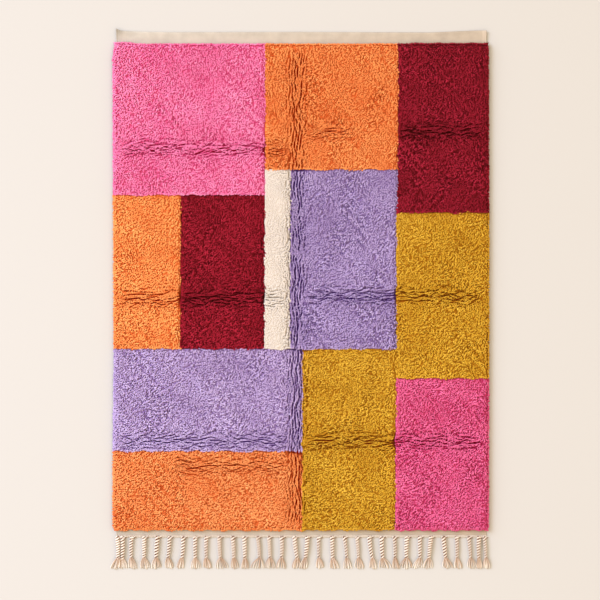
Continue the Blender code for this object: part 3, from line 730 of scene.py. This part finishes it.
def lock_levels(at, over, ridge, trough, rng):
    """Tone level of each lock, from dark to light.

    Dye takes in clouds, in knotted rows, by lot, by lock and by clump. Light and shade are painted in
    as well: a higher brow, the back of a stroke and the locks near a crease are painted paler, as
    lit. Furrows get painted shade, and so do the 18 mm below or right of a border, as the painted
    shadow of the next field. Open pile is darker.
    """
    u, v, (left, _, top, _) = at.u, at.v, at.box
    tone = 0.54 + 0.05 * waves(u, v, *TONE_CLOUDS) + 0.02 * waves(u, 0.35 * v, *TONE_ROWS)
    tone += 0.03 * waves(u, v, *TONE_LOTS) - 0.05 * (at.loose - 0.4) * (1 - at.soft)
    tone += ((0.04 + 0.11 * at.loose - 0.03 * at.soft) * rng.standard_normal(at.count)
             + 0.025 * at.traits[:, 2])
    # painted highlight on the backs of strokes, painted shade in the gaps between them
    tone += (0.06 + 0.10 * at.loose) * ridge
    beside = np.maximum(np.clip(1 - (u - left) / (18 * MM), 0, 1),
                        np.clip(1 - (v - top) / (18 * MM), 0, 1))
    # painted light and shade: paler for a high brow and near a crease, painted shadow beside a border,
    # painted shade in a furrow
    tone += 70 * over * (1 - 0.5 * at.soft) - 0.10 * beside + 0.04 * at.near - 60 * trough
    return np.clip((tone * YARN_LEVELS).astype(int), 0, YARN_LEVELS - 1)


def pile_locks():
    """Work out every lock of the pile: its path, width, thickness, tone level and field."""
    rng = np.random.default_rng(23)
    at = lock_places(rng)
    path_u, path_v = lock_paths(at, rng)
    trough = furrow_depth(path_u[:, 1], path_v[:, 1])
    ridge = strokes(path_u[:, 1], path_v[:, 1])
    # the ridge raises the brows; in lock_levels it also paints their backs paler and the gaps darker
    ridge = (ridge - 0.25 * (ridge ** 2 - 1)) * (1 - at.near)  # broad backs, narrow dark gaps
    heights, over = lock_heights(at, path_u, path_v, ridge, trough, rng)
    centres = to_frame(path_u, path_v, heights)
    widths = (3.1 + 1.4 * at.soft) * MM * rng.uniform(0.8, 1.2, at.count) * (1 - 0.25 * at.near)
    thickness = (0.74 - 0.40 * at.soft) * widths
    return centres, widths, thickness, lock_levels(at, over, ridge, trough, rng), at.field


# The pile's pieces and the ground


def bed_of_field(number):
    """The knots' packed bases under one field: a low closed slab that shows dark between locks.

    Its top follows the swell and sinks where the pile is open, near a crease and at the rim. It
    lies in real shadow and is painted in the shade of the root colour, and near a crease the chart
    takes it down to the painted shade of a fold.
    """
    lot, left, right, top, bottom = FIELDS[number]
    soft = lot == SOFT_LOT
    gap, under_brows, under_rim, crease_drop = 0.2 * MM, (1.3 if soft else 4.4) * MM, 6 * MM, 10 * MM
    low_u, high_u = left + gap + 6 * MM * (left == 0), right - gap - 6 * MM * (right == PILE_WIDTH)
    low_v, high_v = top + gap + 3 * MM * (top == 0), bottom - gap - 5 * MM * (bottom == PILE_LENGTH)
    columns, rows = int((high_u - low_u) / BED_PITCH) + 2, int((high_v - low_v) / BED_PITCH) + 2
    v, u = np.meshgrid(np.linspace(low_v, high_v, rows), np.linspace(low_u, high_u, columns),
                       indexing="ij")
    near = np.max([near for _, near, _ in furrows(u, v)], axis=0)
    height = PILE_TOP - under_brows - 3.6 * MM * looseness(u, v, number) + swell(u, v)
    most = rim_height(outline(u, v).min(axis=0)) - (0 if soft else under_rim)
    height = np.maximum(np.minimum(height - crease_drop * near, most), GROUND_TOP + 1 * MM)
    lift = corner_lift(u, v)
    u = u - drift(u, v)
    points, faces = slab(to_frame(u, v, height + lift), to_frame(u, v, GROUND_TOP + 0.1 * MM + lift))
    # painted shade: the bed mostly takes the root colour, and near a crease the fold shade
    near = np.tile(near.ravel(), 2)[faces[:, 0]][:, None]
    across = chart_x((10 - 9 * near).astype(int), np.array((0.0, 1.0, 0.0)))
    up = 0.42 - 0.42 * near + np.array((0.0, 0.02, 0.04))
    return points, faces, np.stack((across, up), axis=-1).reshape(-1, 2)


def make_pile():
    """One piece of pile for each dye lot: all its locks and the beds they stand on."""
    centres, widths, thickness, levels, field = pile_locks()
    pieces = []
    for lot, tones in DYES.items():
        numbers = [n for n, sides in enumerate(FIELDS) if sides[0] == lot]
        chosen = np.isin(field, numbers)
        parts = [locks(centres[chosen], widths[chosen], thickness[chosen], levels[chosen])]
        parts += [bed_of_field(n) for n in numbers]
        points, faces, chart = join_shapes(parts)
        if lot == SOFT_LOT:
            chart[:, 1] = 0.4 + 0.6 * chart[:, 1]  # light passes through undyed wool
        material = yarn_material("cut_wool_pile_" + lot, tones, 0.12)
        pieces.append(make_piece("pile_" + lot, points, faces, chart, material, "wool_pile"))
    return pieces


def make_ground():
    """The woven ground: a thin closed sheet whose ends show as flat bands at head and foot.

    Its columns crowd at the two selvedges, which are raised over 2 mm as round cords, and its rows
    at the two ends. The head end follows the band's own edge, and its corners curl up.
    """
    edge_columns = np.array((0, 1.5, 3, 4.5, 6, 9)) * MM / GROUND_WIDTH
    across = np.concatenate((edge_columns, np.linspace(0.012, 0.988, 80), 1 - edge_columns[::-1]))
    rows = np.concatenate((np.linspace(0, 0.072, 18), np.linspace(0.12, 1.88, 12),
                           np.linspace(1.905, FOOT_EDGE, 12)))[:, None]
    edge = np.interp(GROUND_LEFT + GROUND_WIDTH * across, *np.array(HEAD_BAND_EDGE).T)
    v = rows - edge[None, :] * np.clip(1 - rows / 0.10, 0, 1)
    u = GROUND_LEFT + GROUND_WIDTH * across[None, :] + 0 * rows
    slack = 0.35 * MM * waves(u, v, *GROUND_SLACK)
    lift = corner_lift(u, v)
    from_side = np.minimum(across, 1 - across) * 1475  # in millimetres
    selvedge = 1.3 * MM * np.exp(-((from_side - 2.2) / 2.0) ** 2)
    top = to_frame(u, v, GROUND_TOP + slack + selvedge[None, :] + lift)
    points, faces = slab(top, to_frame(u, v, lift + 0 * u))
    spot = np.stack((GROUND_WIDTH * across[None, :] + 0 * rows, rows + 0 * across[None, :]), axis=-1)
    chart = np.tile((spot / FOOT_EDGE).reshape(-1, 2), (2, 1))[faces].reshape(-1, 2)
    return make_piece("woven_ground", points, faces, chart, weave_material(), "wool_pile")


# The fringe


def helix(centre, radius, turns, phase):
    """Lay a ply round a centre line: a helix of the given radius, turns along it and first phase.

    centre is (cords, stations, 3); radius, turns are (cords, stations); phase is (cords, 1).
    """
    _, side, up = axes(np.gradient(centre, axis=1))
    angle = 2 * math.pi * turns + phase
    return centre + radius[..., None] * (np.cos(angle)[..., None] * side + np.sin(angle)[..., None] * up)


def cords(root, knot, rng):
    """Two-ply twisted cords from the foot edge to their knots, a little bowed and flattened.

    The chart paints shade in the groove between the plies and light on their backs.
    """
    count = len(root)
    scale = rng.uniform(1.05, 1.38, count)[:, None]
    share = np.linspace(0, 1, CORD_STATIONS)[None, :]
    ply, spiral = PLY_RADIUS * scale, SPIRAL_RADIUS * scale
    neck = np.interp(share, (0, 0.1, 0.55, 0.9, 1), (0.85, 1.06, 1.0, 0.85, 0.72))
    bow = rng.uniform(-2, 2, count)[:, None] * MM
    u = root[:, None] + knot[:, None] * share + bow * np.sin(math.pi * share)
    v = CORD_START + (CORD_END - CORD_START) * share + 0 * root[:, None]
    centre = to_frame(u, v, (ply + spiral) * neck + 0.2 * MM)
    pitch = TWIST_PITCH * rng.uniform(0.9, 1.12, count)[:, None]
    turns = -(CORD_END - CORD_START) * share / pitch
    phase = rng.uniform(0, 2 * math.pi, count)[:, None]
    plies = np.concatenate([helix(centre, spiral * neck, turns, phase + half) for half in (0, math.pi)])
    radii = np.concatenate([ply * neck] * 2)
    points, faces, chart = tubes(plies, radii, CORD_SIDES, rng.integers(10, 18, 2 * count))
    rings = points.reshape(2 * count, -1, 3)[:, :-2].reshape(2 * count, CORD_STATIONS, CORD_SIDES, 3)
    middle = np.concatenate((centre, centre))[:, :, None]
    farthest = np.concatenate([(ply + spiral) * neck] * 2)[:, :, None]
    out = (np.linalg.norm(rings - middle, axis=3) / farthest).reshape(2 * count, -1)
    out = np.concatenate((out, np.full((2 * count, 2), 0.5)), axis=1).ravel()
    # painted shade in the grooves between the plies, painted light on their backs
    chart[:, 1] = np.clip((out[faces.ravel()] - 0.76) / 0.24, 0, 1)
    points[:, 2] *= 0.74
    return points, faces, chart


def tufts(root, knot, tuft, splay, rng):
    """Splayed tufts: from each knot seven untwisted strands fan out and sink to the floor."""
    count = len(root)
    share = np.linspace(0, 1, TUFT_STATIONS)[None, None, :]
    each = (count, TUFT_STRANDS, 1)
    place = ((np.arange(TUFT_STRANDS) - (TUFT_STRANDS - 1) / 2) / TUFT_STRANDS)[None, :, None]
    shuffle = rng.uniform(-0.05, 0.05, each)
    spread_out = (TUFT_NECK + (1.2 * splay[:, None, None] - TUFT_NECK)
                  * np.sin(0.56 * math.pi * share) ** 0.9)
    u = ((root + knot)[:, None, None] + (tuft - knot)[:, None, None] * share
         + (place + shuffle) * spread_out)
    u = u + 0.9 * MM * np.sin(5 * share + rng.uniform(0, 6.3, each)) * share
    length = TUFT_LENGTH * rng.uniform(0.86, 1.02, each) * (1.02 - 0.35 * place ** 2)
    v = CORD_END - 6 * MM + (length + 6 * MM) * share + 0 * u
    layer = rng.uniform(0, 1, each)
    z = (2.1 * MM + (5 * MM + 2 * MM * layer) * (1 - share) ** 1.5
         + 3.2 * MM * layer * (1 - 0.6 * share))
    paths = to_frame(u, v, z).reshape(count * TUFT_STRANDS, TUFT_STATIONS, 3)
    taper = np.interp(np.linspace(0, 1, TUFT_STATIONS), (0, 0.3, 0.85, 1), (0.75, 1.0, 0.9, 0.6))
    thick = STRAND_RADIUS * rng.uniform(0.75, 1.2, (count * TUFT_STRANDS, 1)) * taper[None, :]
    thick = np.minimum(thick, paths[..., 2] - 0.1 * MM)
    points, faces, chart = tubes(paths, thick, 5, rng.integers(0, 18, count * TUFT_STRANDS))
    # painted shade towards the knot
    chart[:, 1] = 0.36 + 0.56 * chart[:, 1]
    return points, faces, chart


def twined_rows():
    """Three rows of two-ply twining along the foot edge, which hold the cords."""
    stations = np.linspace(12 * MM, 1.487, 700)[None, :]
    rounds, turns = 0 * stations + 0.75 * MM, stations / (11 * MM)
    plies = [helix(to_frame(stations, row + 0 * stations, z + 0 * stations), rounds, turns,
                   np.array([[half]]))
             for row, z, _, _ in TWINED_ROWS for half in (0, math.pi)]
    levels = np.array([row[2:] for row in TWINED_ROWS]).ravel()
    radii = np.full((len(plies), stations.size), 1.0 * MM)
    points, faces, chart = tubes(np.concatenate(plies), radii, 4, levels)
    chart[:, 1] = 0.95
    return points, faces, chart


def wraps(root):
    """A pale yarn that passes over each cord's root and leans to the next one."""
    share = np.linspace(0, 1, 9)[None, :]
    u = root[:, None] - 2 * MM + 16 * MM * share
    v = 1.9730 - 9.0 * MM * share ** 0.8 + 0 * u
    z = 8.6 * MM + 1.6 * MM * np.sin(math.pi * share) - 2.6 * MM * share + 0 * u
    thick = np.interp(share, (0, 0.2, 0.7, 1), (0.8, 1.9, 1.5, 0.6)) * MM + 0 * u
    points, faces, chart = tubes(to_frame(u, v, z), thick, 5, np.full(len(root), 18))
    chart[:, 1] = 0.95
    return points, faces, chart


def painted_wrap_shadows(root):
    """A dark strip of painted shadow in the hollow right of each cord's root, under the wrap."""
    share = np.linspace(0, 1, 9)[None, :]
    u = root[:, None] + (2 + 16 * share) * MM
    v = 1.9740 - 6.5 * MM * share + 0 * u
    z = 5.6 * MM - 1.0 * MM * share + 0 * u
    thick = 1.5 * MM * np.sin(math.pi * (0.1 + 0.8 * share)) + 0 * u
    points, faces, chart = tubes(to_frame(u, v, z), thick, 4, np.full(len(root), 3))
    chart[:, 1] = 0.16
    return points, faces, chart


def make_fringe():
    """Twisted cords with splayed tufts, and the twined edge that they come out of."""
    rng = np.random.default_rng(41)
    root, knot, tuft, splay = (np.array(TASSELS, float) * MM).T
    parts = [cords(root, knot, rng), tufts(root, knot, tuft, splay, rng), twined_rows(), wraps(root),
             painted_wrap_shadows(root)]
    material = yarn_material("twisted_undyed_yarn", FRINGE_TONES, 0.15)
    return make_piece("fringe_cords", *join_shapes(parts), material, "cotton_fringe")


# The room


def make_room():
    """Pale floor, a large soft lamp from the upper left, warm pale surroundings and the camera.

    The camera looks straight down on a view 600 px wide, 3.984 mm to the pixel.
    """
    half, below = 15, -0.0003
    corners = [(-half, -half, below), (half, -half, below), (half, half, below), (-half, half, below)]
    mesh = bpy.data.meshes.new("floor")
    mesh.from_pydata(corners, [], [(0, 1, 2, 3)])
    # Matt paint: an even pale grey that the warm surroundings tint, with no gloss.
    material, _, shader = new_material("matt_floor_paint", 0.85, 0.0, "#ffffff")
    shader.inputs["Base Color"].default_value = linear("#bab6b4")
    mesh.materials.append(material)
    floor = bpy.data.objects.new("floor", mesh)
    bpy.context.scene.collection.objects.link(floor)

    lamp = bpy.data.lights.new("window_light", "AREA")
    lamp.shape, lamp.size, lamp.energy = "DISK", 12.0, 540
    lamp.color = (0.60, 0.74, 1.0)
    lamp.spread = math.radians(65)
    window = bpy.data.objects.new("window_light", lamp)
    azimuth, elevation, distance = math.radians(157), math.radians(29), 12.0
    place = distance * np.array((math.cos(azimuth) * math.cos(elevation),
                                 math.sin(azimuth) * math.cos(elevation), math.sin(elevation)))
    aim = np.array((-2.6, -0.5, 0))
    window.location = place
    window.rotation_mode = "QUATERNION"
    window.rotation_quaternion = Vector(place - aim).to_track_quat("Z", "Y")
    bpy.context.scene.collection.objects.link(window)

    world = bpy.data.worlds.new("white_room")
    world.use_nodes = True
    world.node_tree.nodes["Background"].inputs[0].default_value = linear("#ffefd2")
    world.node_tree.nodes["Background"].inputs[1].default_value = 1.45
    bpy.context.scene.world = world

    data = bpy.data.cameras.new("camera")
    height, view_width = 9.0, 0.6 * 3.984
    data.sensor_width = 36
    data.lens = 36 * height / view_width
    data.clip_end = 100
    camera = bpy.data.objects.new("camera", data)
    camera.location = (PLAN_TO_X + 0.7450, PLAN_TO_Y - 1.0227, height)
    bpy.context.scene.collection.objects.link(camera)
    bpy.context.scene.camera = camera
    bpy.context.scene.view_settings.view_transform = "Standard"


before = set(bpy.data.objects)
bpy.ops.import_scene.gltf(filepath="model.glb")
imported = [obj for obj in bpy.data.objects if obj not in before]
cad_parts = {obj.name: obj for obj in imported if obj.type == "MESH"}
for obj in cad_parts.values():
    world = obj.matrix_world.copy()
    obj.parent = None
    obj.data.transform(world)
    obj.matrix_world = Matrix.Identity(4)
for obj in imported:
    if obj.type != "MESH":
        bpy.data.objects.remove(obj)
bpy.context.view_layer.update()

make_room()
ground = make_ground()
pile = make_pile()
fringe = make_fringe()
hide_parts("rug_body")
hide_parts("fringe")

bpy.context.view_layer.update()
